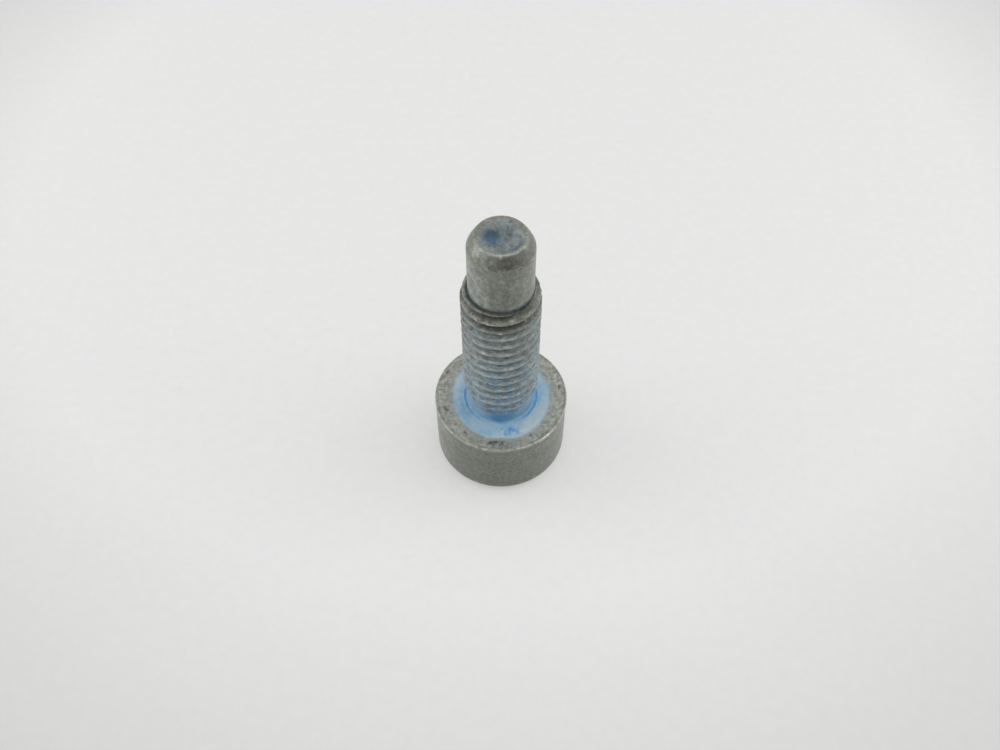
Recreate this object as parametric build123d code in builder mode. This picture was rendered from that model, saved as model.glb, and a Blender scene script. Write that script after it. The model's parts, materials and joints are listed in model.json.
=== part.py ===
from build123d import *
import math
import os

# Star drive bolt: a cold-forged cap screw with a six-lobe socket in a tall
# cylindrical head, a rolled coarse metric thread and a smooth pilot point.
# Units are millimetres. The bolt stands on the end of its head: the origin is
# the centre of that end face and +Z runs along the shank to the tip.

# ---- driving dimensions --------------------------------------------------

# head
head_diameter = 18.0
head_height = 10.7
head_end_round = 1.5          # rounded edge round the driven end
rim_flare = 0.04              # radial spread of the rim at the bearing face
rim_flare_height = 1.6        # length of head over which the rim spreads
rim_break = 0.15              # broken edge of the bearing face

# six-lobe socket, size 50
lobe_span = 8.95              # across opposite lobe tips
waist_span = 6.45             # across opposite inner ridges
lobe_tip_radius = 0.775
socket_depth = 5.2            # straight depth that the driver engages
socket_point_angle = 120.0    # included angle of the forged bottom
mouth_lead_in = 0.325         # radial step of the countersink outside the lobes
mouth_angle = 90.0            # included angle of that countersink

# thread
thread_size = 10.0            # nominal size of the coarse metric thread
thread_pitch = 1.5
flank_angle = 60.0
crest_truncation = 0.06       # radial flattening of the rolled crests
thread_length = 22.5          # bearing face to the foot of the pilot
thread_run_out = 3.0          # bearing face to the end of the full-depth groove
groove_end_height = 1.1       # bearing face to where the groove has faded out
lead_taper_length = 1.5       # crests sink over this length to the pilot's shoulder
lead_taper_depth = 0.34       # radial

# neck between the bearing face and the thread
neck_allowance = 0.04         # radial, the plain neck over the pitch cylinder
neck_length = 2.0
neck_taper_length = 1.8       # crests grow to full height over this length
under_head_fillet = 0.6

# pilot point
pilot_clearance = 0.08        # radial step from the thread root in to the pilot
pilot_length = 8.7
tip_chamfer_length = 1.6
tip_chamfer_depth = 0.88      # radial
tip_dish_depth = 0.15         # hollow left in the tip by the forging punch
tip_land_width = 0.35         # flat ring left round the hollow

# ---- derived values ------------------------------------------------------

# Sharp height of the thread's triangle, and the metric profile's shares of it.
sharp_height = thread_pitch / 2 / math.tan(math.radians(flank_angle / 2))
crest_radius = thread_size / 2 - crest_truncation
pitch_radius = thread_size / 2 - 3 / 8 * sharp_height
root_radius = thread_size / 2 - 17 / 24 * sharp_height
root_half_width = thread_pitch / 16
neck_radius = pitch_radius + neck_allowance
pilot_radius = root_radius - pilot_clearance
head_radius = head_diameter / 2
tip_radius = pilot_radius - tip_chamfer_depth

bearing_z = head_height
neck_end_z = bearing_z + neck_length
full_thread_z = neck_end_z + neck_taper_length
pilot_foot_z = bearing_z + thread_length
shoulder_radius = crest_radius - lead_taper_depth
tip_z = pilot_foot_z + pilot_length

# The socket's lobes and inner ridges are arcs that meet tangentially, which
# fixes the ridge radius once the two spans and the lobe radius are given.
half_step = math.radians(30)
lobe_centre = lobe_span / 2 - lobe_tip_radius
waist = waist_span / 2
ridge_radius = (
    lobe_centre**2
    + waist**2
    - 2 * lobe_centre * waist * math.cos(half_step)
    - lobe_tip_radius**2
) / (2 * (lobe_tip_radius + lobe_centre * math.cos(half_step) - waist))
ridge_centre = waist + ridge_radius
lobe_half_arc = math.degrees(
    math.atan2(
        ridge_centre * math.sin(half_step),
        ridge_centre * math.cos(half_step) - lobe_centre,
    )
)
socket_point_height = waist / math.tan(math.radians(socket_point_angle / 2))
mouth_radius = lobe_span / 2 + mouth_lead_in
mouth_cone_height = mouth_radius / math.tan(math.radians(mouth_angle / 2))

# The groove's section reaches a little past the crests, so that it cuts cleanly.
# At full depth it is wound in stretches of a few whole turns, the last of which
# runs on past the foot of the pilot, clear of it. Its lower end winds outwards
# until it has left the neck.
groove_mouth_radius = crest_radius + sharp_height / 6
groove_half_width = root_half_width + (
    groove_mouth_radius - root_radius
) * math.tan(math.radians(flank_angle / 2))
full_depth_z = bearing_z + thread_run_out
stretch_height = 4 * thread_pitch
stretch_count = math.ceil((pilot_foot_z + thread_pitch - full_depth_z) / stretch_height)
fade_height = thread_run_out - groove_end_height
fade_rise = neck_radius - root_radius + sharp_height / 30
fade_angle = math.degrees(math.atan2(fade_rise, fade_height))

# ---- bolt ----------------------------------------------------------------

with BuildPart() as bolt:
    # Blank: head, neck and thread cylinder turned from one outline.
    with BuildSketch(Plane.XZ):
        with BuildLine():
            Polyline(
                (0, 0),
                (head_radius, 0),
                (head_radius, bearing_z - rim_flare_height),
                (head_radius + rim_flare, bearing_z),
                (neck_radius, bearing_z),
                (neck_radius, neck_end_z),
                (crest_radius, full_thread_z),
                (crest_radius, tip_z),
                (0, tip_z),
                close=True,
            )
        make_face()
    revolve(axis=Axis.Z)

    # Edges of the head, and the blend from the neck into the bearing face.
    rings = bolt.edges().filter_by(GeomType.CIRCLE)
    end_ring = rings.group_by(Axis.Z)[0]
    bearing_rings = rings.filter_by_position(Axis.Z, bearing_z, bearing_z)
    neck_ring = bearing_rings.sort_by(SortBy.RADIUS)[0]
    rim_ring = bearing_rings.sort_by(SortBy.RADIUS)[-1]
    fillet(end_ring, radius=head_end_round)
    fillet(neck_ring, radius=under_head_fillet)
    chamfer(rim_ring, length=rim_break)

    # Thread: a right-hand groove at full depth from its run-out to past the pilot's
    # shoulder, and its fading end, a conical helix that winds on down the neck.
    with BuildLine(Plane.XY.offset(full_depth_z)) as full_depth:
        for stretch in range(stretch_count):
            Helix(
                pitch=thread_pitch,
                height=stretch_height,
                radius=root_radius,
                center=(0, 0, stretch * stretch_height),
            )
    with BuildLine(Plane.XY.offset(full_depth_z)) as fading:
        rising = Helix(
            pitch=thread_pitch / math.cos(math.radians(fade_angle)),
            height=fade_height,
            radius=root_radius,
            cone_angle=fade_angle,
            lefthand=True,
            mode=Mode.PRIVATE,
        )
        mirror(rising, about=Plane.XY.offset(full_depth_z))
    for path in (full_depth, fading):
        with BuildSketch(Plane.XZ):
            with BuildLine():
                Polyline(
                    (root_radius, full_depth_z - root_half_width),
                    (groove_mouth_radius, full_depth_z - groove_half_width),
                    (groove_mouth_radius, full_depth_z + groove_half_width),
                    (root_radius, full_depth_z + root_half_width),
                    close=True,
                )
            make_face()
        sweep(path=path.line, is_frenet=True, mode=Mode.SUBTRACT)

    # Lead taper over the last crests, the pilot below it and the chamfer of its tip.
    with BuildSketch(Plane.XZ):
        with BuildLine():
            Polyline(
                (shoulder_radius + 2 * lead_taper_depth, pilot_foot_z - 2 * lead_taper_length),
                (shoulder_radius, pilot_foot_z),
                (pilot_radius, pilot_foot_z),
                (pilot_radius, tip_z - tip_chamfer_length),
                (tip_radius - tip_chamfer_depth, tip_z + tip_chamfer_length),
                (head_radius, tip_z + tip_chamfer_length),
                (head_radius, pilot_foot_z - 2 * lead_taper_length),
                close=True,
            )
        make_face()
    revolve(axis=Axis.Z, mode=Mode.SUBTRACT)

    # Six-lobe socket, straight down to its engagement depth.
    with BuildSketch():
        with BuildLine():
            for lobe_angle in range(0, 360, 60):
                CenterArc(
                    Vector(lobe_centre, 0).rotate(Axis.Z, lobe_angle),
                    lobe_tip_radius,
                    lobe_angle - lobe_half_arc,
                    2 * lobe_half_arc,
                )
                CenterArc(
                    Vector(ridge_centre, 0).rotate(Axis.Z, lobe_angle + 30),
                    ridge_radius,
                    lobe_angle + lobe_half_arc + 180,
                    60 - 2 * lobe_half_arc,
                )
        make_face()
    extrude(amount=socket_depth, mode=Mode.SUBTRACT)

    # Forged conical bottom of the socket and the countersink at its mouth.
    with BuildSketch(Plane.XZ):
        with BuildLine():
            Polyline(
                (0, socket_depth),
                (waist, socket_depth),
                (0, socket_depth + socket_point_height),
                close=True,
            )
        make_face()
        with BuildLine():
            Polyline((0, 0), (mouth_radius, 0), (0, mouth_cone_height), close=True)
        make_face()
    revolve(axis=Axis.Z, mode=Mode.SUBTRACT)

    # Shallow hollow in the face of the tip.
    with BuildSketch(Plane.XZ):
        with BuildLine():
            dish = ThreePointArc(
                (-tip_radius + tip_land_width, tip_z),
                (0, tip_z - tip_dish_depth),
                (tip_radius - tip_land_width, tip_z),
            )
            Line(dish @ 1, dish @ 0)
        make_face()
        split(bisect_by=Plane.YZ)
    revolve(axis=Axis.Z, mode=Mode.SUBTRACT)

bolt.part.label = "bolt"

os.makedirs("parts", exist_ok=True)
export_step(bolt.part, "parts/bolt.step")
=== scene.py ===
import itertools
import json
import math

import bpy
import numpy as np
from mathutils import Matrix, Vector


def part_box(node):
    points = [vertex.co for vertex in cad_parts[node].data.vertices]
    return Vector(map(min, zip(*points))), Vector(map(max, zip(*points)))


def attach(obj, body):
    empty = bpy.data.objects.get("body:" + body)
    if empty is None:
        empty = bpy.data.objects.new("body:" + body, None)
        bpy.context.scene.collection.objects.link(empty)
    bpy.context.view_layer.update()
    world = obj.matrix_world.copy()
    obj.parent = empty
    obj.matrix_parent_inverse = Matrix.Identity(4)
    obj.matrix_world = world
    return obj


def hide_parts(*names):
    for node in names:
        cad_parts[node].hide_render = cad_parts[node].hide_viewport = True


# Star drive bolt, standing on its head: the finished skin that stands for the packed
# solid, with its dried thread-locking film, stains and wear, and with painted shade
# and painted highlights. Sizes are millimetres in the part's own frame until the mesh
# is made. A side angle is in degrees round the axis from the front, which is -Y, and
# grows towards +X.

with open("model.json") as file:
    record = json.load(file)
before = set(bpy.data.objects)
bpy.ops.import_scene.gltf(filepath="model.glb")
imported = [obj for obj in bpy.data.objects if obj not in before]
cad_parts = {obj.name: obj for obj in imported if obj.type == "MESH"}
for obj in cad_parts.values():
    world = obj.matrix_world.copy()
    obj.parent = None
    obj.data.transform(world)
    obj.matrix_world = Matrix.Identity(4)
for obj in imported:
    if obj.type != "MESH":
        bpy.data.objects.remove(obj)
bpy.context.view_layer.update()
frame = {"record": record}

MM = 0.001
mounts = {mount["name"]: mount for mount in frame["record"]["mounts"]}
low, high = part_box("bolt")

# ---- sizes of the bolt ----

RIM_RADIUS = (high.x - low.x) / 2 / MM
RIM_FLARE = 0.04
HEAD_RADIUS = RIM_RADIUS - RIM_FLARE
BEARING_Z = mounts["bearing_face"]["pos_m"][2] / MM
END_ROUND = 1.5
RIM_FLARE_HEIGHT = 1.6
RIM_BREAK = 0.15

TIP_Z = high.z / MM
PILOT_RADIUS = mounts["pilot"]["dims"]["r_mm"]
TIP_CHAMFER_LENGTH = 1.6
TIP_CHAMFER_DEPTH = 0.88
TIP_CHAMFER_CROWN = 0.07
TIP_CHAMFER_ROUNDING = 0.06
TIP_RADIUS = PILOT_RADIUS - TIP_CHAMFER_DEPTH
TIP_LAND_WIDTH = 0.35
TIP_DISH_DEPTH = 0.15
PILOT_TOP_Z = TIP_Z - TIP_CHAMFER_LENGTH
PILOT_FOOT_Z = PILOT_TOP_Z - mounts["pilot"]["dims"]["length_mm"]

PITCH = 1.5
CREST_RADIUS = 4.94
ROOT_RADIUS = 4.08
CREST_ROUNDING = 0.05
ROOT_HALF_WIDTH = PITCH / 16
FLANK_SLOPE = math.tan(math.radians(30))
FULL_DEPTH_Z = BEARING_Z + 3.0
GROOVE_END_Z = BEARING_Z + 1.1
# The fading groove ends this far clear of the neck.
GROOVE_END_RISE = 0.043
LEAD_TAPER_Z = PILOT_FOOT_Z - 1.5
SHOULDER_RADIUS = CREST_RADIUS - 0.34
NECK_RADIUS = 4.55
NECK_END_Z = BEARING_Z + 2.0
FULL_THREAD_Z = NECK_END_Z + 1.8
NECK_FILLET = 0.6

LOBE_SPAN = 8.95
WAIST_SPAN = 6.45
LOBE_RADIUS = 0.775
SOCKET_DEPTH = 5.2
SOCKET_POINT = 1.86
MOUTH_RADIUS = 4.8

# ---- mesh layout ----

COLUMNS = 240
FACE_RINGS = 24
CREST_SHARE = (ROOT_HALF_WIDTH + (CREST_RADIUS - ROOT_RADIUS) * FLANK_SLOPE) / PITCH
# Rows over one pitch of the thread, as shares of it from the groove's centre.
LOWER_SHARES = (0.0, 0.0625, 0.145, 0.228, 0.311, 0.365, CREST_SHARE, 0.43)
PROFILE_SHARES = LOWER_SHARES + (0.5,) + tuple(1 - share for share in LOWER_SHARES[:0:-1])
THREAD_ROWS_START = GROOVE_END_Z - 0.25
# Turns of helical rows, enough to reach from the neck to the shoulder.
THREAD_TURNS = range(-3, 15)
# Helical rows keep this far from the rings beside them.
ROW_MARGIN = 0.03
SHARP_EDGE_DEGREES = 38
# Row keys: helical rows count from 0 at the first full groove, rings lie outside them.
FIRST_RING_KEY = -10000
LAST_RING_KEY = 10000


# ---- random fields ----


def value_noise(points, feature, seed):
    """Smooth random values from 0 to 1 at the points, with features of that size."""
    table = np.random.default_rng(seed).random((32, 32, 32))
    cell = points / feature
    corner = np.floor(cell).astype(int)
    blend = cell - corner
    blend = blend * blend * (3 - 2 * blend)
    total = np.zeros(len(points))
    for offset in itertools.product((0, 1), repeat=3):
        i, j, k = ((corner + offset) % 32).T
        weight = np.prod(np.where(np.array(offset) == 1, blend, 1 - blend), axis=1)
        total += weight * table[i, j, k]
    return total


def cloud_noise(points, feature, seed, octaves=3):
    """Several octaves of value noise, centred on 0 and mostly between -0.5 and 0.5."""
    total = np.zeros(len(points))
    weight_sum = 0.0
    for octave in range(octaves):
        weight = 0.6**octave
        total += weight * (value_noise(points, feature / 2**octave, seed + octave) - 0.5)
        weight_sum += weight
    return total / weight_sum * 1.6


def ramp(value, start, end):
    """0 before start, 1 after end, and a smooth rise between them."""
    t = np.clip((value - start) / (end - start), 0, 1)
    return t * t * (3 - 2 * t)


def fade(value, start, end):
    """1 before start and 0 after end."""
    return 1 - ramp(value, start, end)


def soft_min(a, b, width):
    """The lower of two values, with the corner between them rounded."""
    share = np.clip(0.5 + (b - a) / (2 * width), 0, 1)
    return b + (a - b) * share - width * share * (1 - share)


def turn_between(angle, other):
    """The signed turn from one angle to another, in degrees, from -180 to 180."""
    return (angle - other + 180) % 360 - 180


# ---- the skin's rows ----

# Azimuth of each column, counter-clockwise from +X.
azimuth = np.arange(COLUMNS) * 2 * math.pi / COLUMNS
full_ring = np.ones(COLUMNS)


def star_outline():
    """Radius of the socket's six-lobe outline at each column."""
    step = math.radians(30)
    cosine, sine = math.cos(step), math.sin(step)
    lobe_centre = LOBE_SPAN / 2 - LOBE_RADIUS
    waist = WAIST_SPAN / 2
    gap = lobe_centre**2 + waist**2 - 2 * lobe_centre * waist * cosine - LOBE_RADIUS**2
    ridge_radius = gap / (2 * (LOBE_RADIUS + lobe_centre * cosine - waist))
    ridge_centre = waist + ridge_radius
    # The two arcs touch on the line between their centres.
    share = LOBE_RADIUS / (LOBE_RADIUS + ridge_radius)
    touch_x = lobe_centre + share * (ridge_centre * cosine - lobe_centre)
    touch_y = share * ridge_centre * sine
    from_lobe = np.abs((azimuth + step) % (2 * step) - step)
    from_ridge = step - from_lobe
    lobe_chord = LOBE_RADIUS**2 - (lobe_centre * np.sin(from_lobe)) ** 2
    ridge_chord = ridge_radius**2 - (ridge_centre * np.sin(from_ridge)) ** 2
    return np.where(
        from_lobe < math.atan2(touch_y, touch_x),
        lobe_centre * np.cos(from_lobe) + np.sqrt(np.maximum(lobe_chord, 0)),
        ridge_centre * np.cos(from_ridge) - np.sqrt(np.maximum(ridge_chord, 0)),
    )


def level_ring(radius, z):
    """Radius and height at each column of a round, level ring."""
    return radius * full_ring, z * full_ring


def straight(start, end, count):
    """Rings evenly spaced from just past one (radius, z) to another."""
    return [level_ring(*place) for place in np.linspace(start, end, count + 1)[1:]]


def rounded(centre, radius, start, end, count):
    """Rings along an arc about a (radius, z) centre, between two angles in degrees."""
    angles = np.radians(start + (end - start) * np.arange(1, count + 1) / count)
    return [
        level_ring(centre[0] + radius * math.cos(angle), centre[1] + radius * math.sin(angle))
        for angle in angles
    ]


def socket_rings():
    """From the forged point of the socket, down its walls, to the countersunk mouth."""
    star = star_outline()
    waist = WAIST_SPAN / 2
    cone = [
        level_ring(waist * share, SOCKET_DEPTH + SOCKET_POINT * (1 - share))
        for share in (0.25, 0.5, 0.75, 0.97)
    ]
    floor = [
        (np.minimum(star, waist + 0.03), SOCKET_DEPTH * full_ring),
        (star - 0.06, SOCKET_DEPTH * full_ring),
    ]
    mouth_z = MOUTH_RADIUS - star
    walls = [
        (star, SOCKET_DEPTH + (mouth_z - SOCKET_DEPTH) * share)
        for share in (0.01, 0.1, 0.25, 0.4, 0.55, 0.7, 0.85, 0.96, 1.0)
    ]
    mouth = [
        (star + (MOUTH_RADIUS - star) * share, mouth_z * (1 - share))
        for share in (0.33, 0.66, 1.0)
    ]
    return cone + floor + walls + mouth


def head_rings():
    """End face, rounded edge, side, rim, bearing face and the fillet under the head."""
    flat_radius = HEAD_RADIUS - END_ROUND
    flare_z = BEARING_Z - RIM_FLARE_HEIGHT
    rim_foot_z = BEARING_Z - RIM_BREAK
    fillet_radius = NECK_RADIUS + NECK_FILLET
    return (
        straight((MOUTH_RADIUS, 0), (flat_radius, 0), 8)
        + rounded((flat_radius, END_ROUND), END_ROUND, -90, 0, 7)
        + straight((HEAD_RADIUS, END_ROUND), (HEAD_RADIUS, flare_z), 20)
        + straight((HEAD_RADIUS, flare_z), (RIM_RADIUS, rim_foot_z), 5)
        + rounded((RIM_RADIUS - RIM_BREAK, rim_foot_z), RIM_BREAK, 0, 90, 3)
        + straight((RIM_RADIUS - RIM_BREAK, BEARING_Z), (fillet_radius, BEARING_Z), 28)
        + rounded((fillet_radius, BEARING_Z + NECK_FILLET), NECK_FILLET, -90, -180, 6)
    )


def dish_depth(radius):
    """Depth of the shallow hollow that the forging punch left in the tip."""
    return TIP_DISH_DEPTH * max(0.0, 1 - (radius / (TIP_RADIUS - TIP_LAND_WIDTH)) ** 2)


def shoulder_rings():
    """Flat shoulder at the end of the thread, from its edge in to the pilot."""
    foot_z = PILOT_FOOT_Z * full_ring
    edge = thread_radius(foot_z, azimuth)
    return [
        (PILOT_RADIUS + (edge - PILOT_RADIUS) * share, foot_z)
        for share in (1.0, 0.93, 0.7, 0.4, 0.15, 0.0)
    ]


def pilot_rings():
    """Pilot and its chamfer, up from the foot, and the face of the tip inwards."""
    side = straight((PILOT_RADIUS, PILOT_FOOT_Z), (PILOT_RADIUS, PILOT_TOP_Z), 28)
    side += straight((PILOT_RADIUS, PILOT_TOP_Z), (TIP_RADIUS, TIP_Z), 10)
    slope = TIP_CHAMFER_DEPTH / TIP_CHAMFER_LENGTH
    # Makes up for what the rounding takes off the pilot at the edge.
    allowance = 0.01
    softened = []
    for _, z in side:
        along = np.clip((z - PILOT_TOP_Z) / TIP_CHAMFER_LENGTH, 0, 1)
        crown = TIP_CHAMFER_CROWN * 4 * along * (1 - along)
        chamfer = PILOT_RADIUS + (PILOT_TOP_Z - z) * slope + crown
        softened.append((soft_min(PILOT_RADIUS + allowance, chamfer, TIP_CHAMFER_ROUNDING), z))
    innermost = 0.1
    face_radii = np.linspace(TIP_RADIUS, innermost, FACE_RINGS)[1:]
    face = [level_ring(radius, TIP_Z - dish_depth(radius)) for radius in face_radii]
    return softened + face


def thread_rows(angle):
    """(key, z) of each helical row between the neck and the pilot, at one azimuth."""
    first = FULL_DEPTH_Z + PITCH * angle / (2 * math.pi)
    rows = [
        (turn * len(PROFILE_SHARES) + row, first + PITCH * (turn + share))
        for turn in THREAD_TURNS
        for row, share in enumerate(PROFILE_SHARES)
    ]
    start = THREAD_ROWS_START + ROW_MARGIN
    end = PILOT_FOOT_Z - ROW_MARGIN
    return [(key, z) for key, z in rows if start < z < end]


def thread_radius(z, angle):
    """Radius of the neck and the rolled thread at height z and an azimuth."""
    first = FULL_DEPTH_Z + PITCH * angle / (2 * math.pi)
    below = np.floor((z - first) / PITCH)
    fade_depth = NECK_RADIUS - ROOT_RADIUS + GROOVE_END_RISE
    fade_slope = fade_depth / (FULL_DEPTH_Z - GROOVE_END_Z)
    groove = CREST_RADIUS * 2 * np.ones_like(z)
    for turn in (below, below + 1):
        centre = first + PITCH * turn
        root = ROOT_RADIUS + fade_slope * np.maximum(FULL_DEPTH_Z - centre, 0)
        flank = np.maximum(np.abs(z - centre) - ROOT_HALF_WIDTH, 0) / FLANK_SLOPE
        groove = np.minimum(groove, root + flank)
    blank = np.interp(
        z,
        [NECK_END_Z, FULL_THREAD_Z, LEAD_TAPER_Z, PILOT_FOOT_Z],
        [NECK_RADIUS, CREST_RADIUS, CREST_RADIUS, SHOULDER_RADIUS],
    )
    return soft_min(blank, groove, CREST_ROUNDING)


# ---- the skin's mesh ----


def add_object(name, data):
    """A new object in the scene."""
    new = bpy.data.objects.new(name, data)
    bpy.context.scene.collection.objects.link(new)
    return new


def stitch(left, right):
    """Faces between two neighbouring columns of (key, vertex) in order of key."""
    faces = []
    i = j = 0
    while i < len(left) - 1 or j < len(right) - 1:
        next_left = left[i + 1][0] if i < len(left) - 1 else math.inf
        next_right = right[j + 1][0] if j < len(right) - 1 else math.inf
        corners = [left[i][1], right[j][1]]
        if next_right <= next_left:
            j += 1
            corners.append(right[j][1])
        if next_left <= next_right:
            i += 1
            corners.append(left[i][1])
        corners = list(dict.fromkeys(corners))
        if len(corners) > 2:
            faces.append(corners)
    return faces


def ring_rows(rings, first_key, column):
    """(key, radius, z) of each ring at one column."""
    rows = [(radius[column], z[column]) for radius, z in rings]
    return [(first_key + index, *row) for index, row in enumerate(rows)]


def skin_mesh():
    """Vertices in millimetres and faces of the undisplaced skin, which is watertight."""
    neck_foot = (NECK_RADIUS, BEARING_Z + NECK_FILLET)
    before = socket_rings() + head_rings()
    before += straight(neck_foot, (NECK_RADIUS, THREAD_ROWS_START), 2)
    after = shoulder_rings() + pilot_rings()
    socket_pole = (0.0, 0.0, SOCKET_DEPTH + SOCKET_POINT)
    tip_pole = (0.0, 0.0, TIP_Z - TIP_DISH_DEPTH)
    vertices = [socket_pole, tip_pole]
    columns = []
    for column, angle in enumerate(azimuth):
        cosine, sine = math.cos(angle), math.sin(angle)
        helical = thread_rows(angle)
        heights = np.array([z for _, z in helical])
        radii = thread_radius(heights, angle)
        rows = ring_rows(before, FIRST_RING_KEY, column)
        rows += [(key, radius, z) for (key, z), radius in zip(helical, radii)]
        rows += ring_rows(after, LAST_RING_KEY, column)
        links = [(FIRST_RING_KEY - 1, 0)]
        for key, radius, z in rows:
            links.append((key, len(vertices)))
            vertices.append((radius * cosine, radius * sine, z))
        links.append((LAST_RING_KEY + len(after), 1))
        columns.append(links)
    # After a whole turn the helix has risen one pitch, so the first column's helical
    # rows meet the last column's with their keys one pitch lower.
    seam = [
        (key - len(PROFILE_SHARES) if abs(key) < LAST_RING_KEY / 2 else key, vertex)
        for key, vertex in columns[0]
    ]
    faces = []
    for left, right in zip(columns, columns[1:] + [seam]):
        faces += stitch(left, right)
    return np.array(vertices), faces


# ---- condition: film, adhesive, stains, wear, painted shade and painted highlights ----

# Heights where the look of the shank changes.
FILM_TOP_Z = PILOT_FOOT_Z - 2.35
LAST_TURN_Z = PILOT_FOOT_Z - 1.9
LAST_CREST_Z = PILOT_FOOT_Z - 1.1
NECK_TOP = 2.6
HEAD_WAIST = -2.95
RIM_LINE_RADIUS = 8.72
NICK_SIDE = -2

# The collar of thick adhesive is a circle a little off the axis.
COLLAR_X, COLLAR_Y, COLLAR_REACH = 0.08, 0.43, 5.15
FULL_POOL = 0.93

# Places on the tip, in x and y from its centre.
DROP_MIDDLE = (-1.05, 0.08)
DROP_TAIL = (-1.0, -1.0)
DROP_HALO = (-1.0, -0.1)
DROP_BLUE = (-1.15, -0.8)
RIGHT_PATCH = (1.8, 0.2)
BACK_PATCH = (1.3, 2.3)
CLEAN_PATCH = (-1.4, 1.9)
# Stains on the tip: place, size and strength.
TIP_STAINS = (
    ((1.0, 0.25), 0.45, 0.6),
    ((0.5, -0.45), 0.4, 0.55),
    ((0.6, 0.1), 1.1, 0.3),
)

# Dark spots on the bearing face: side angle, radius and size.
FACE_STAINS = (
    (-8, 7.85, 0.32), (-4, 7.65, 0.25), (-1, 7.9, 0.28),
    (31, 7.7, 0.14), (-74, 7.9, 0.22), (-71, 7.65, 0.15),
    (-38, 7.8, 0.14), (101, 8.2, 0.16), (-117, 8.4, 0.18),
)
# Dark spots on the thread: side angle, height, size and strength.
THREAD_STAINS = (
    (-49, 29.3, 0.24, 1), (-45, 28.6, 0.2, 1), (41, 28.5, 0.24, 1),
    (-20, 19.9, 0.2, 1), (21, 15.0, 0.2, 1), (-20, 13.5, 0.35, 1),
)
# Dark spots low on the chamfer: side angle and height.
CHAMFER_STAINS = ((12, 40.75), (-17, 40.7))
# Blue spots of adhesive on the thread: side angle, height, size and strength.
THREAD_DABS = ((32, 22.3, 0.45, 0.5), (16, 17.6, 0.4, 0.6))
# White grains of dry adhesive on the thread: side angle, height, size and strength.
THREAD_GRAINS = (
    (-26, 26.0, 0.2, 0.9), (-19, 32.0, 0.16, 0.6),
    (-1, 30.5, 0.17, 0.8), (-26, 30.5, 0.13, 0.5),
    (15, 23.2, 0.2, 0.5), (7, 23.2, 0.15, 0.5),
    (-8, 19.9, 0.12, 0.5), (27, 17.3, 0.16, 0.8),
)

# The dirt mask also carries painted shade, the wear and speck masks painted highlights, and the
# gel mask painted shade on the neck's front.
MASK_NAMES = ("film", "pool", "tone", "gel_and_shade", "wear_and_highlight", "dirt", "speck_and_glint")


def by_height(height, levels):
    """A value between its levels at some heights."""
    return np.interp(height, list(levels), list(levels.values()))


def patch(distance, size, ragged=0.0):
    """1 inside a spot of that radius and 0 outside it; ragged moves its outline."""
    return fade(distance * (1 + ragged), 0.5 * size, 1.3 * size)


def glow(distance, size):
    """1 in the middle of a soft spot, fading over about its size."""
    return np.exp(-((distance / size) ** 2))


def largest(*masks):
    """The largest of several masks, each held to its own places."""
    return np.maximum.reduce([np.where(places, mask, 0.0) for places, mask in masks])


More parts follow.
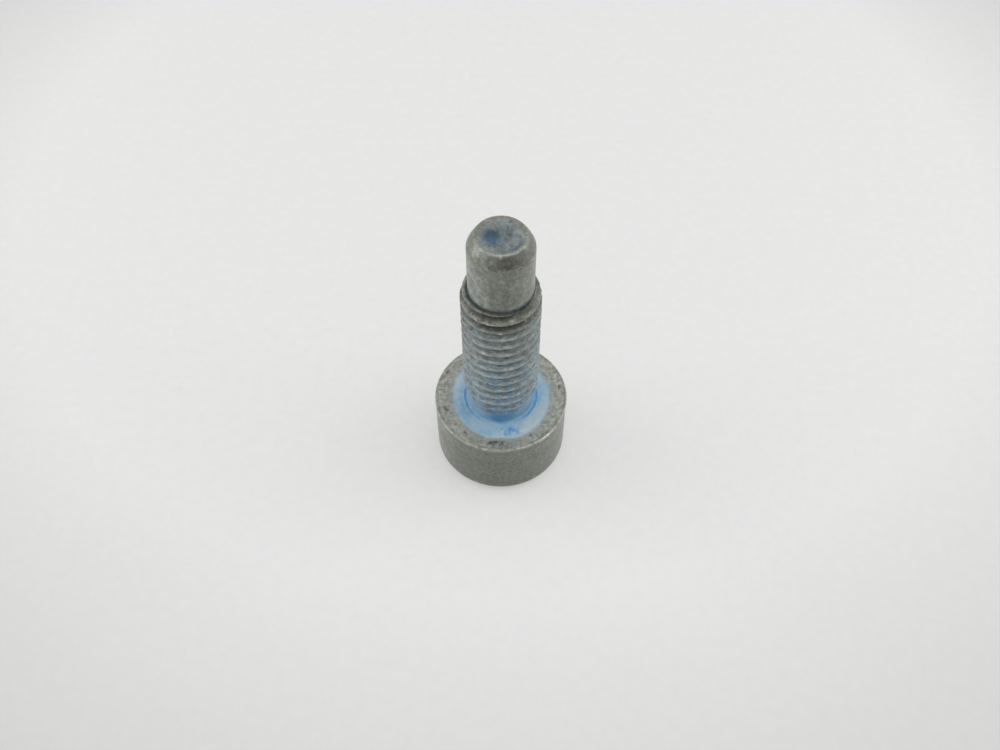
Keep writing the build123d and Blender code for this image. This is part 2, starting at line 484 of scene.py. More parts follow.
class Surface:
    """The skin's points, where they lie, and the noise that all masks share."""

    def __init__(self, points):
        self.x, self.y, self.z = points.T
        self.radius = np.hypot(self.x, self.y)
        self.side = np.degrees(np.arctan2(self.x, -self.y))
        self.above = self.z - BEARING_Z
        self.add_noise(points)
        self.add_regions()

    def add_noise(self, points):
        """Noise of three grain sizes, and streaks along the ways of working."""
        self.broad = cloud_noise(points, 2.4, 11)
        self.middle = cloud_noise(points, 0.9, 21)
        self.fine = cloud_noise(points, 0.35, 31)
        # The direction from the axis, which has no seam at the back.
        outward_x, outward_y = points[:, :2].T / np.maximum(self.radius, 0.01)
        # Streaks that follow the turning of the head.
        across = self.radius * 4.0 + self.z * 0.6
        turned = np.column_stack([outward_x * 4.8, outward_y * 4.8, across])
        self.streak = cloud_noise(turned, 1.0, 41)
        # Dashes that lie along the turns of the thread.
        flattened = points * (1, 1, 2.5)
        self.dash = cloud_noise(flattened, 0.8, 51)
        self.grit = cloud_noise(flattened, 0.45, 61)
        # Lines drawn along the side of the pilot.
        drawn = np.column_stack([outward_x * 7.2, outward_y * 7.2, self.z * 0.25])
        self.drawn = cloud_noise(drawn, 1.0, 81)
        # Strands that run from front to back over the tip.
        self.strand = cloud_noise(points * (2.2, 1, 1), 0.8, 71)

    def add_regions(self):
        """The bolt's faces as True and False, and its soft zones from 0 to 1."""
        self.crest = ramp(self.radius, CREST_RADIUS - 0.22, CREST_RADIUS - 0.02)
        self.root = fade(self.radius, ROOT_RADIUS + 0.05, ROOT_RADIUS + 0.5)
        # The line where adhesive settled, just inside the tip's front edge.
        arc_level = self.by_side({-25: 0, -5: 1, 40: 1, 65: 0.6, 80: 0})
        self.front_arc = glow(self.radius - 2.4, 0.3) * arc_level

        near = 0.01
        fillet_radius = NECK_RADIUS + NECK_FILLET
        self.on_face = (
            (self.above > -RIM_BREAK - near)
            & (self.above < near)
            & (self.radius > fillet_radius - near)
        )
        self.on_head_side = (self.above <= -RIM_BREAK) & (self.radius > HEAD_RADIUS - 0.3)
        at_foot = np.abs(self.z - PILOT_FOOT_Z) <= 0.1 * near
        below_foot = (self.z < PILOT_FOOT_Z) & ~at_foot
        on_point = (self.z > PILOT_FOOT_Z) & ~at_foot
        beyond_pilot = on_point & (self.z >= PILOT_TOP_Z)
        self.on_shank = (self.above > near) & below_foot
        self.in_fillet = self.on_shank & (self.above < NECK_FILLET)
        self.in_thread = self.on_shank & (self.above > NECK_TOP)
        self.on_shoulder = at_foot
        self.on_pilot = on_point & ~beyond_pilot
        self.on_chamfer = beyond_pilot & (self.radius > TIP_RADIUS - near)
        self.on_tip = beyond_pilot & ~self.on_chamfer

    def by_side(self, levels):
        """A value between its levels at some side angles."""
        return np.interp(self.side, list(levels), list(levels.values()), period=360)

    def facing(self, side, width):
        """1 where the surface looks to a side angle, fading over that many degrees."""
        return glow(turn_between(self.side, side), width)

    def tip_spot(self, place, size):
        """1 at a place on the tip, fading over about that size."""
        return glow(np.hypot(self.x - place[0], self.y - place[1]), size)

    def spot_round(self, side, z, size):
        """An irregular spot on the shank or point, at a side angle and height."""
        across = np.radians(turn_between(self.side, side)) * self.radius
        return patch(np.hypot(across, self.z - z), size, 1.2 * self.fine)

    def spots_round(self, spots):
        """The strongest of several such spots: side angle, height, size and strength."""
        return np.maximum.reduce([strength * self.spot_round(*spot) for *spot, strength in spots])

    def spot_flat(self, side, radius, size, squash):
        """An irregular spot on a face square to the axis, longer along the turn."""
        across = np.radians(turn_between(self.side, side)) * self.radius * squash
        return patch(np.hypot(across, self.radius - radius), size, 1.2 * self.fine)


# ---- film and how blue it is ----


def pooled_film(s):
    """Film pooled on the bearing face, over the fillet and up the neck."""
    face_edge = s.by_side(
        {-150: 6.6, -112: 6.8, -80: 6.5, -40: 6.95, 0: 7.2, 40: 7.2, 80: 6.7, 112: 6.6}
    )
    inside = face_edge + 0.3 * s.broad + 0.2 * s.middle + 0.2 * s.fine - s.radius
    haze = 0.35 * ramp(inside + 0.7 + 0.6 * s.broad, -0.4, 0.5)
    face_pool = np.maximum(FULL_POOL * ramp(inside, -0.5, 0.4), haze)
    fillet_pool = FULL_POOL * ramp(s.radius, NECK_RADIUS + 0.02, NECK_RADIUS + 0.1)
    neck_pool = fade(s.above + 0.5 * s.middle, 1.1, 2.5) * (0.85 + 0.5 * s.middle)
    return largest(
        (s.on_face, face_pool),
        (s.in_fillet, fillet_pool),
        (s.on_shank & (s.above < 3.2), np.clip(neck_pool, 0, 0.9)),
    )


def thread_film(s):
    """Film on the thread, thinner and more broken towards its upper end."""
    thinning = by_height(s.z, {14: 0.92, 22: 0.85, 27: 0.75, 30: 0.68})
    film = ramp(FILM_TOP_Z + 0.6 * s.middle + 0.4 * s.fine - s.z, -0.2, 0.3) * thinning
    return film * np.clip(1 + 0.6 * s.middle + 0.5 * s.fine, 0, 1)


def tip_film(s):
    """Film smeared over the tip, round the drop and in patches."""
    film = 0.35 + 0.4 * s.broad + 0.3 * s.middle - 0.5 * s.strand
    film += 0.45 * s.tip_spot(RIGHT_PATCH, 1.0)
    film += 0.45 * s.tip_spot(BACK_PATCH, 0.9)
    film += 0.3 * s.front_arc * np.clip(0.8 + s.middle, 0, 1)
    film += 0.7 * s.tip_spot(DROP_HALO, 1.5)
    film -= 0.6 * s.tip_spot(CLEAN_PATCH, 1.0)
    return np.clip(0.72 * film, 0, 0.7) * fade(s.radius + 0.3 * s.middle, 2.4, 3.0)


def pilot_film(s):
    """Film at the foot of the pilot, and traces of it higher up."""
    foot_film = 0.6 * fade(s.z - PILOT_FOOT_Z, 0.3, 1.6 + s.middle)
    return foot_film + 0.3 * ramp(s.broad + 0.5 * s.middle, 0.0, 0.4)


def thin_film(s):
    """Thin film on the thread, the pilot and the tip."""
    places = [s.on_shank, s.on_tip, s.on_pilot]
    return np.select(places, [thread_film(s), tip_film(s), pilot_film(s)], 0.0)


def shank_tone(s):
    """Blue near the head, fading to grey up the thread and round its sides."""
    tone = by_height(
        s.above, {0: 0.85, 2.5: 0.8, 4: 0.55, 6: 0.45, 11: 0.3, 15: 0.12, 19: 0.0}
    )
    neck_tone = s.by_side(
        {-150: 0.6, -90: 0.6, -60: 0.5, -30: 0.45, 0: 0.85, 30: 0.5, 60: 0.7, 90: 0.7, 150: 0.6}
    )
    tone += (neck_tone - 0.8) * fade(s.above, 2.0, 3.0)
    tone += 0.35 * s.middle + 0.25 * s.broad
    return tone - 0.22 * ramp(np.abs(s.side), 25, 60) * ramp(s.above, 3.0, 6.0)


def face_tone(s):
    """Pale at the outer edge, bluer at the left, and strong in streaks at the front."""
    left_blue = s.facing(-85, 30) * fade(s.radius, 5.4, 6.0)
    streak_patch = patch(np.hypot((s.x - 1.1) * 0.5, s.y + 5.95), 0.75, s.fine)
    blue_streaks = streak_patch * ramp(s.grit + 0.5 * s.fine, -0.2, 0.1)
    tone = 0.36 + 0.3 * left_blue + 0.45 * s.broad + 0.35 * s.middle
    tone += 0.7 * blue_streaks
    tone -= 0.35 * s.facing(-112, 25) + 0.4 * ramp(s.radius, 6.6, 7.4)
    return tone - 0.35 * s.facing(55, 30) * ramp(s.radius, 5.1, 5.6)


def tip_tone(s):
    """Bluest round the drop, at the back and along the front edge."""
    tone = 0.2 + 0.3 * s.middle + 0.3 * s.tip_spot(BACK_PATCH, 0.8)
    tone += 0.5 * s.tip_spot(DROP_BLUE, 0.85)
    return tone + 0.3 * s.front_arc + 0.35 * s.tip_spot(DROP_HALO, 1.5)


def film_tone(s):
    """How blue the film is, from 0, grey, to 1, strong blue."""
    shank, face = shank_tone(s), face_tone(s)
    inner_share = fade(s.radius, NECK_RADIUS + 0.1, NECK_RADIUS + 0.5)
    places = [s.on_face, s.in_fillet, s.on_tip]
    return np.select(places, [face, face + (shank - face) * inner_share, tip_tone(s)], shank)


# ---- thick adhesive ----


def collar_masks(s):
    """The collar in the corner under the head: how thick it looks, and its height."""
    along = (COLLAR_X * s.x + COLLAR_Y * s.y) / np.maximum(s.radius, 0.1)
    outline = along + np.sqrt(COLLAR_REACH**2 - COLLAR_X**2 - COLLAR_Y**2 + along**2)
    width = np.maximum(outline - NECK_RADIUS, 0.0)
    from_line = np.abs(s.radius - NECK_RADIUS - 0.29 + 0.1 * s.middle + 0.06 * s.fine)
    collar = fade(from_line, 0.08, 0.31) * fade(s.above, 0.3, 0.45)
    collar = np.where(s.on_face | s.on_shank, collar * ramp(width, 0.1, 0.4), 0.0)
    collar *= s.by_side(
        {-180: 0.7, -100: 1, -40: 1, -10: 0.7, 25: 0.5, 50: 0.75, 70: 0.9, 90: 0.8, 150: 0.6}
    )
    return collar, collar * np.clip(0.4 * width, 0, 0.2)


def neck_gel_and_shade(s):
    """Blue band on the front of the neck, film darkened with painted shade, and a faint smear all
    round it.
    """
    # The band is blue film with painted shade.
    shaded_band = (
        ramp(s.above + 0.4 * s.middle, 0.25, 0.55)
        * fade(s.above + 0.7 * s.middle, 1.7, 2.7)
        * fade(np.abs(turn_between(s.side, -2)) + 18 * s.middle, 18, 34)
        * (0.35 + 0.4 * s.middle + 0.4 * s.dash)
    )
    smear = 0.2 * ramp(s.above, 0.1, 0.4) * fade(s.above, 0.6, 2.4) * s.on_shank
    return np.maximum(np.where(s.on_face | s.on_shank, shaded_band, 0.0), smear)


def tip_drop(s):
    """The dark drop, its tail to the front, and the line along the tip's front edge."""
    ragged = 1 + 0.5 * s.middle + 0.45 * s.fine
    drop = 1.3 * s.tip_spot(DROP_MIDDLE, 1.0) * ragged
    drop = np.maximum(drop, 0.8 * s.tip_spot(DROP_TAIL, 0.5) * ragged)
    line = 0.8 * s.front_arc * np.clip(0.6 + 1.5 * s.strand, 0, 1)
    return np.clip(np.maximum(drop, line), 0, 0.97)


def foot_residue(s):
    """Navy residue in the corner at the pilot's foot, wider at the right."""
    corner = np.hypot(s.radius - PILOT_RADIUS, s.z - PILOT_FOOT_Z)
    corner += 0.1 * s.middle + 0.06 * s.fine
    residue = fade(corner, 0.14, 0.46 + 0.34 * s.facing(55, 35))
    residue *= s.by_side({-110: 0.7, -75: 0.8, -40: 0.5, 0: 0.3, 35: 0.7, 65: 1, 110: 0.8})
    return residue * np.clip(0.75 + 1.5 * s.grit + s.fine, 0, 1.3)


def gel_and_shade_masks(s):
    """Thick adhesive, with the painted shade on the neck's front: all of it, the part that is
    dark, and the collar's height.
    """
    collar, collar_height = collar_masks(s)
    dabs = largest((s.on_shank, s.spots_round(THREAD_DABS)))
    dark = largest((s.on_tip, tip_drop(s)), (s.on_shoulder | s.on_pilot, foot_residue(s)))
    gel_and_shade = np.maximum.reduce([0.9 * collar, neck_gel_and_shade(s), dabs, dark])
    return gel_and_shade, dark, collar_height


# ---- stains, dirt and painted shade ----


def face_dirt(s, pool):
    """Dark spots, dirt in the turned streaks, and a dark line inside the rim."""
    dirt = 0.42 * ramp(0.9 * s.streak + 0.7 * s.middle + 0.7 * s.fine, 0.05, 0.7) * (1 - pool)
    for side, radius, size in FACE_STAINS:
        dirt = np.maximum(dirt, 0.9 * s.spot_flat(side, radius, size, squash=0.5))
    rim_line = glow(s.radius - RIM_LINE_RADIUS, 0.1)
    rim_line *= np.clip(0.35 + 0.9 * s.streak + s.broad, 0, 0.8)
    return np.maximum(dirt, rim_line)


def groove_dirt_and_shade(s):
    """Dirt and painted shade in the grooves: deep and mottled where they are bare, broken under
    film.
    """
    bare = fade(FILM_TOP_Z - 0.25 + 0.3 * s.middle - s.z, -0.2, 0.3)
    below_last_turn = ramp(LAST_TURN_Z + 0.3 - s.z, -0.1, 0.1)
    reach = CREST_RADIUS - 0.5 + 0.3 * below_last_turn
    depth = fade(s.radius + 0.15 * s.grit, reach, reach + 0.25)
    # Painted shade deep in the bare grooves, strongest at the front.
    depth *= s.by_side({-80: 0.15, -50: 0.6, -30: 1, 30: 1, 50: 0.5, 80: 0.15})
    mottled = np.clip(0.15 + 1.8 * s.grit + 1.2 * s.fine, 0, 0.85)
    in_bare = 0.9 * depth + (1 - depth) * mottled

    # Dirt and painted shade in the roots under film, strongest at the right front and round the
    # sides.
    back_levels = {-180: 1, -105: 1.1, -80: 1.1, 80: 1.1, 105: 1.2}
    front_levels = {-60: 0.4, -30: 0.5, 0: 0.9, 25: 1.3, 50: 1.5, 65: 1}
    level = by_height(s.above, {1: 0.1, 3: 0.42, 6: 0.6})
    level *= s.by_side(back_levels | front_levels)
    in_film = np.clip(level + 0.7 * s.dash + 0.4 * s.fine, 0, 0.9) * s.root * (1 - bare)
    return in_bare * bare + in_film


def thread_dirt_and_shade(s):
    """Dirt and painted shade in the thread's grooves, darker over its last crest and at its right
    front, dark flecks, and painted shade in streaks down its sides.
    """
    last_crest_z = LAST_CREST_Z + PITCH * s.side / 360
    upper_flank = ramp(s.z + 0.2 * s.grit - last_crest_z, 0.08, 0.35)
    upper_flank *= 0.8 + s.middle + s.grit
    upper_flank *= s.by_side({-90: 0, -60: 0.5, -35: 0.9, 0: 1, 20: 0.4, 45: 0})
    flecks = ramp(-s.grit - 0.3 * s.fine, 0.3, 0.6)
    dull_side = 0.18 * s.facing(27, 20) * ramp(s.above, 5.0, 8.0) * (1 + 1.5 * s.middle)
    # Painted shade in dark streaks down the thread's left and right sides.
    side_shade_streaks = np.maximum(s.facing(-74, 12), s.facing(80, 12))
    side_shade_streaks *= ramp(s.z, 24, 28) * ramp(s.grit + 0.5 * s.dash, 0.05, 0.3)
    parts = [groove_dirt_and_shade(s), 0.85 * upper_flank, 0.6 * flecks, dull_side, 0.75 * side_shade_streaks]
    return np.maximum.reduce(parts)


def chamfer_shade_and_stains(s):
    """Painted shade on the chamfer at the front and right, with two dark spots low on it."""
    below_tip = TIP_Z - s.z
    painted_shade = ramp(below_tip, 0.12, 0.35) * (1 - 0.5 * ramp(below_tip, 1.1, 1.5))
    # Painted shade, strongest on the chamfer's front right.
    painted_shade *= s.by_side({-60: 0, -30: 0, -8: 0.5, 8: 0.95, 25: 0.8, 50: 0.6, 75: 0.1, 110: 0})
    dirt = painted_shade * (0.8 + 0.9 * s.middle + 0.6 * s.fine)
    for side, z in CHAMFER_STAINS:
        dirt += 0.5 * s.spot_round(side, z, 0.35)
    return 0.75 * np.clip(dirt, 0, 1)


def tip_dirt(s):
    """Stains beside the drop, a dark stroke at the centre, and dirt between strands."""
    dirt = 0.7 * glow(np.hypot((s.x + 0.1) * 0.6, s.y + 0.05), 0.25)
    for place, size, strength in TIP_STAINS:
        dirt = np.maximum(dirt, strength * s.tip_spot(place, size))
    strands = ramp(s.strand + 0.3 * s.fine, 0.02, 0.35) * fade(s.radius, 2.3, 2.8)
    strands *= 1 - s.tip_spot(CLEAN_PATCH, 1.0)
    return 0.8 * dirt + 0.12 + 0.45 * strands


def pilot_dirt(s):
    """Darker towards the pilot's foot, and dirt in the lines drawn along its side."""
    foot_darkening = 0.3 * fade(s.z - PILOT_FOOT_Z + 0.4 * s.middle, 0.2, 0.9)
    return foot_darkening + 0.2 * ramp(-s.drawn - 0.3 * s.fine, 0.1, 0.5)


def dirt_and_shade_mask(s, pool):
    """Dark stains and dirt, painted shade in the grooves, down the thread's sides and on the
    chamfer, and darkening in corners and low on the head.
    """
    neck_dirt = 0.26 * s.facing(45, 28) * ramp(s.above, 0.35, 0.6)
    neck_dirt *= fade(s.above, 1.2, 2.2)
    # The head's side is darker towards the floor.
    lower_head = 0.16 * fade(s.z, 2.0, 7.5) * (1 + s.broad + s.middle)
    return largest(
        (s.on_head_side, lower_head),
        (s.on_face, face_dirt(s, pool)),
        (s.on_shank, neck_dirt),
        (s.on_shank, s.spots_round(THREAD_STAINS)),
        (s.on_shank & (s.above > 1), 0.35 * ramp(s.middle + s.fine, 0.2, 0.8)),
        (s.in_thread, thread_dirt_and_shade(s)),
        # The shoulder is darker towards the pilot.
        (s.on_shoulder, 0.35 * fade(s.radius, 4.3, 4.45)),
        (s.on_pilot, pilot_dirt(s)),
        (s.on_chamfer, chamfer_shade_and_stains(s)),
        (s.on_tip, tip_dirt(s)),
    )


# ---- worn metal, painted highlights and grains of adhesive ----


def rim_distance(s):
    """Distance from the rim of the bearing face, made uneven."""
    return np.hypot(s.radius - RIM_RADIUS, s.above) + 0.15 * s.fine


def rim_highlight(s):
    """Painted highlight along the edge of the head, strongest at the front left and right."""
    left_levels = {-100: 0.1, -60: 0.3, -50: 0.8, -20: 0.7, -5: 0.3}
    right_levels = {15: 0.3, 28: 0.6, 35: 1.3, 47: 1.3, 54: 0.3, 100: 0.15}
    level = s.by_side(left_levels | right_levels)
    return fade(rim_distance(s), 0.1, 0.32) * np.clip(level + 0.7 * s.streak, 0, 1)


def face_wear(s, pool):
    """Metal polished by turning, where no film covers the bearing face."""
    polished = 0.7 + 0.6 * s.streak + 0.45 * s.middle + 0.4 * s.fine
    polished += 0.14 * ramp(s.radius, 7.5, 8.1)
    return np.maximum(polished, 0) * (1 - pool)


def tip_burr(s):
    """The burr round the edge of the tip, and the nick in it."""
    edge = np.hypot(s.radius - TIP_RADIUS, s.z - TIP_Z)
    level = s.by_side({-80: 0.3, -55: 1, -20: 1, 0: 1, 40: 0.9, 70: 0.7, 95: 0.4, 180: 0.3})
    width = np.where(s.on_chamfer, 0.15, 0.36)
    burr = fade((edge + 0.1 * s.fine + 0.08 * s.middle) / width, 0.15, 1.0) * level
    from_nick = turn_between(s.side, NICK_SIDE)
    nick = glow(from_nick, 4.0) * fade(edge + 0.02 * np.abs(from_nick), 0.12, 0.36)
    return burr, nick


def point_wear_and_light(s):
    """Worn metal on the pilot, its chamfer and the tip, with a painted highlight along the
    chamfer's edge and painted light on the chamfer's left.
    """
    # A painted highlight along the edge between the pilot and its chamfer.
    edge_highlight = 0.75 * glow(s.z - PILOT_TOP_Z, 0.13) * np.clip(0.75 + s.middle + s.fine, 0, 1)
    # Painted light on the chamfer's left front.
    left_light = s.by_side({-110: 0, -80: 0.1, -55: 0.6, -25: 0.45, -5: 0, 45: 0, 75: 0.15, 110: 0})
    left_light *= np.clip(0.8 + s.middle + s.fine, 0, 1)
    pilot_wear = 0.14 + 0.45 * ramp(s.broad + 0.6 * s.middle, -0.1, 0.5)
    pilot_wear += 0.15 * s.facing(-22, 18) + 0.25 * s.drawn
    tip_rim = ramp(s.radius, 1.4, 2.6) * (0.35 + 0.5 * s.middle + 0.3 * s.fine)
    clean_patch = 0.6 * s.tip_spot(CLEAN_PATCH, 0.9) * (1 + s.middle)
    return largest(
        (s.on_pilot | s.on_chamfer, edge_highlight),
        (s.on_chamfer, left_light),
        (s.on_pilot, pilot_wear),
        (s.on_tip, np.maximum(tip_rim, clean_patch)),
    )


def thread_wear_and_highlight(s):
    """Worn crests with painted highlights on them, and the rough ones of the last turns with the
    ledge at their end.
    """
    level = by_height(
        s.above, {2.5: 0.1, 5: 0.5, 12: 0.62, 17: 0.58, 20: 0.4, 20.9: 1.0, 21.4: 1.0}
    )
    # Painted highlights on the crests, strongest at the front and weakest at the sides.
    back_shares = {-180: 0.7, -110: 0.6, 110: 0.6}
    front_shares = {-75: 0.2, -45: 0.7, -28: 1.3, 0: 1.1, 28: 0.7, 45: 0.4, 75: 0.15}
    share = s.by_side(back_shares | front_shares)
    crest_wear_and_highlight = s.crest * np.clip(level * share + 1.1 * s.dash + 0.8 * s.grit, 0, 1)
    crest_wear_and_highlight *= np.clip(share + 0.2, 0, 1)
    ragged = 1.5 * s.grit + s.fine
    rough_crest = 0.8 * ramp(s.radius, 4.6, 4.85) * np.clip(0.55 + ragged, 0, 1)
    rough_crest *= s.by_side({-90: 0.3, -55: 0.4, -30: 1, 60: 0.8, 90: 0.6})
    ledge = ramp(s.radius + 0.08 * s.middle, 4.34, 4.42) * np.clip(0.6 + ragged, 0, 1)
    return largest(
        (s.on_shank & (s.above > 2.5), crest_wear_and_highlight),
        (s.on_shank & (s.z > LAST_TURN_Z - 0.1), rough_crest),
        (s.on_shank & (s.z > PILOT_FOOT_Z - 0.15), np.clip(0.45 + s.grit, 0, 1)),
        (s.on_shoulder, ledge),
    )


def wear_and_highlight_mask(s, pool, burr, nick):
    """Bright worn metal, and painted highlights on the rim, the crests and the chamfer."""
    head_wear = largest(
        (s.on_face, face_wear(s, pool)),
        (s.on_head_side, 0.3 * ramp(s.broad + s.fine, 0.2, 0.7)),
    )
    return np.maximum.reduce([head_wear, rim_highlight(s), burr, nick, point_wear_and_light(s), thread_wear_and_highlight(s)])


def speck_and_glint_mask(s, burr, nick):
    """White grains of dry adhesive, bare metal where an edge was struck, and a painted highlight
    on the rim.
    """
    fine_grains = 0.5 * ramp(s.fine + 0.3 * s.dash, 0.4, 0.62)
    bare_grains = 0.6 * ramp(-s.grit - 0.6 * s.fine, 0.2, 0.5) * ramp(s.radius, 4.5, 4.7)
    streaked = 0.4 * ramp(s.fine + 0.5 * s.streak, 0.55, 0.85)
    # A painted highlight on the rim at the front right.
    rim_glint = s.facing(42, 6) * fade(rim_distance(s), 0.1, 0.3)
    rim_glint *= np.clip(0.9 + s.streak + s.fine, 0, 1)
    struck = 0.6 * nick * (turn_between(s.side, NICK_SIDE) > 0)
    grains = largest(
        (s.on_shank, s.spots_round(THREAD_GRAINS)),
        (s.on_shank & (s.above > 2.2), fine_grains),
        (s.on_shank & (s.z > LAST_TURN_Z), bare_grains),
        (s.on_face, 0.6 * s.spot_flat(27, 6.4, 0.3, squash=0.6)),
        (s.on_face, streaked),
        (s.on_tip, 0.3 * burr),
    )
    return np.maximum.reduce([rim_glint, struck, grains])


# ---- the skin ----


def lift_of(s, masks, dark, collar_height, burr):
    """Millimetres that the condition adds along the surface's normal."""
    film, pool, speck_and_glint = masks["film"], masks["pool"], masks["speck_and_glint"]
    lift = 0.012 * s.middle + 0.008 * s.fine
    waist = glow(s.above - HEAD_WAIST, 0.8)
    lift += np.where(s.on_head_side, -0.05 * waist + 0.02 * s.broad, 0.0)
    lift += np.where(s.on_face, 0.05 * pool * (1 + s.middle) + 0.02 * s.streak, 0.0)
    filled = 0.02 + 0.08 * s.root * (1 + s.middle)
    uneven = film * (filled + 0.03 * s.dash) + 0.02 * s.middle + 0.02 * s.fine
    raised_crest = 0.04 * s.crest * (s.grit + ramp(s.z, LAST_TURN_Z + 0.1, LAST_TURN_Z + 0.6))
    lift += np.where(s.on_shank, uneven + raised_crest, 0.0)
    bare_turns = s.on_shank & (s.z > FILM_TOP_Z - 0.05)
    lift += np.where(bare_turns, 0.04 * s.grit + 0.03 * s.fine, 0.0)
    lift += collar_height + 0.05 * burr + 0.06 * speck_and_glint
    lift += np.where(s.on_tip, 0.1 * dark + 0.03 * s.middle + 0.02 * s.fine, 0.0)
    # The bolt stands on its end face, so nothing is raised there.
    return np.where(s.z < 0.01, np.minimum(lift, 0), lift)


def condition(points):
    """Masks from 0 to 1 for each deposit and for wear, with painted shade and highlights among
    them, and the height they add.
    """
    s = Surface(points)
    pool = pooled_film(s)
    gel_and_shade, dark, collar_height = gel_and_shade_masks(s)
    burr, nick = tip_burr(s)
    masks = {
        "film": thin_film(s),
        "pool": pool,
        "tone": film_tone(s) + 0.6 * (gel_and_shade - dark) - 0.5 * dark,
        "gel_and_shade": gel_and_shade,
        "wear_and_highlight": wear_and_highlight_mask(s, pool, burr, nick),
        "dirt": dirt_and_shade_mask(s, pool),
        "speck_and_glint": speck_and_glint_mask(s, burr, nick),
    }
    lift = lift_of(s, masks, dark, collar_height, burr + nick)
    return {name: np.clip(masks[name], 0, 1) for name in MASK_NAMES}, lift


def make_skin():
    """The finished bolt as one watertight mesh."""
    vertices, faces = skin_mesh()
    mesh = bpy.data.meshes.new("bolt_skin")
    mesh.from_pydata(vertices * MM, [], faces)
    masks, lift = condition(vertices)
    normals = np.empty(len(vertices) * 3)
    mesh.vertex_normals.foreach_get("vector", normals)
    displaced = vertices * MM + normals.reshape(-1, 3) * lift[:, None] * MM
    mesh.vertices.foreach_set("co", displaced.ravel())
    for name, mask in masks.items():
        mesh.attributes.new(name, "FLOAT", "POINT").data.foreach_set("value", mask)
    mesh.shade_smooth()
    mesh.set_sharp_from_angle(angle=math.radians(SHARP_EDGE_DEGREES))
    mesh.validate()
    return add_object("bolt_skin", mesh)


# ---- materials ----

COATING_GREENISH = (0.131, 0.152, 0.121, 1)
COATING_BROWNISH = (0.121, 0.124, 0.094, 1)
COATING_DARK = (0.06, 0.06, 0.048, 1)
COATING_LIGHT = (0.235, 0.257, 0.226, 1)
COATING_GRAIN = (0.3, 0.322, 0.288, 1)

THIN_GREY = (0.22, 0.275, 0.285, 1)
THIN_PALE_BLUE = (0.195, 0.34, 0.46, 1)
THIN_BLUE = (0.115, 0.345, 0.6, 1)
THIN_LIGHT_STREAK = (0.44, 0.49, 0.52, 1)
THIN_DARK_STREAK = (0.1, 0.12, 0.135, 1)

POOLED_PALE = (0.47, 0.59, 0.65, 1)
POOLED_BLUE = (0.28, 0.47, 0.63, 1)
POOLED_STRONG = (0.09, 0.3, 0.57, 1)
POOLED_LIGHT_PATCH = (0.5, 0.62, 0.67, 1)

# Worn metal; the same colours paint highlights.
WEAR_AND_HIGHLIGHT_BRIGHT = (0.52, 0.535, 0.485, 1)
WEAR_AND_HIGHLIGHT_DULL = (0.265, 0.28, 0.243, 1)
GEL_NAVY = (0.006, 0.042, 0.073, 1)
# The blue also paints shade on the neck's front.
GEL_AND_SHADE_BLUE = (0.03, 0.16, 0.325, 1)
# Stains; the same colours paint shade.
STAIN_AND_SHADE_BLACK = (0.028, 0.028, 0.02, 1)
STAIN_AND_SHADE_BROWN = (0.055, 0.052, 0.04, 1)
# Dry grains; the same colour paints a glint on the rim.
DRY_GRAIN_AND_GLINT = (0.56, 0.58, 0.54, 1)

PAPER_NEAR = (0.79, 0.79, 0.785, 1), (0.85, 0.85, 0.845, 1)
PAPER_FAR = (0.61, 0.61, 0.605, 1), (0.65, 0.65, 0.645, 1)
PAPER_FADE_CENTRE = (0, 0.06, 0)
PAPER_FADE_START = 0.085
PAPER_FADE_END = 0.135
PAPER_GLOW = 0.96
PAPER_GLOW_SHARE = 0.45
BACKDROP_GREY = (0.82, 0.82, 0.82, 1)
AMBIENT_WHITE = (1, 1, 1, 1)
AMBIENT_STRENGTH = 0.6

# Socket numbers of the Mix node, whose socket names repeat for each type of data.
MIX_SHARE = 0
MIX_NUMBERS = 2, 3
MIX_COLOURS = 6, 7
MIX_NUMBER_RESULT = 0
MIX_COLOUR_RESULT = 2


def feed(tree, shader, inputs):
    """Set a node's inputs to values, or link them to the sockets that feed them."""
    for name, value in inputs.items():
        if isinstance(value, bpy.types.NodeSocket):
            tree.links.new(value, shader.inputs[name])
        else:
            shader.inputs[name].default_value = value


def node(tree, kind, inputs=None, **settings):
    """A new shader node of that kind, with those inputs."""
    new = tree.nodes.new("ShaderNode" + kind)
    for name, value in settings.items():
        setattr(new, name, value)
    feed(tree, new, inputs or {})
    return new


def object_place(tree):
    """Place on the object in metres, from its own origin."""
    return node(tree, "TexCoord").outputs["Object"]


def noise(tree, place, feature, detail=3.0, roughness=0.55):
    """Noise from 0 to 1 with features of that many millimetres."""
    scale = 1 / (feature * MM)
    sockets = {"Vector": place, "Scale": scale, "Detail": detail, "Roughness": roughness}
    return node(tree, "TexNoise", sockets).outputs["Fac"]


def remap(tree, value, start, end, to_start=0.0, to_end=1.0):
    """The value stretched from one range to another, and held inside it."""
    sockets = {"Value": value, "From Min": start, "From Max": end}
    sockets |= {"To Min": to_start, "To Max": to_end}
    return node(tree, "MapRange", sockets, clamp=True).outputs["Result"]


def math_of(tree, operation, first, second):
    return node(tree, "Math", {0: first, 1: second}, operation=operation).outputs[0]


def highest(tree, values):
    """The highest of several values."""
    result = values[0]
    for value in values[1:]:
        result = math_of(tree, "MAXIMUM", result, value)
    return result


def product(tree, first, second):
    return math_of(tree, "MULTIPLY", first, second)


def mix(tree, share, first, second):
    """A colour between two others."""
    sockets = {MIX_SHARE: share, MIX_COLOURS[0]: first, MIX_COLOURS[1]: second}
    return node(tree, "Mix", sockets, data_type="RGBA").outputs[MIX_COLOUR_RESULT]


def mix_three(tree, share, first, middle, last):
    """A colour that runs through three others as the share goes from 0 to 1."""
    lower = mix(tree, remap(tree, share, 0, 0.5), first, middle)
    return mix(tree, remap(tree, share, 0.5, 1), lower, last)


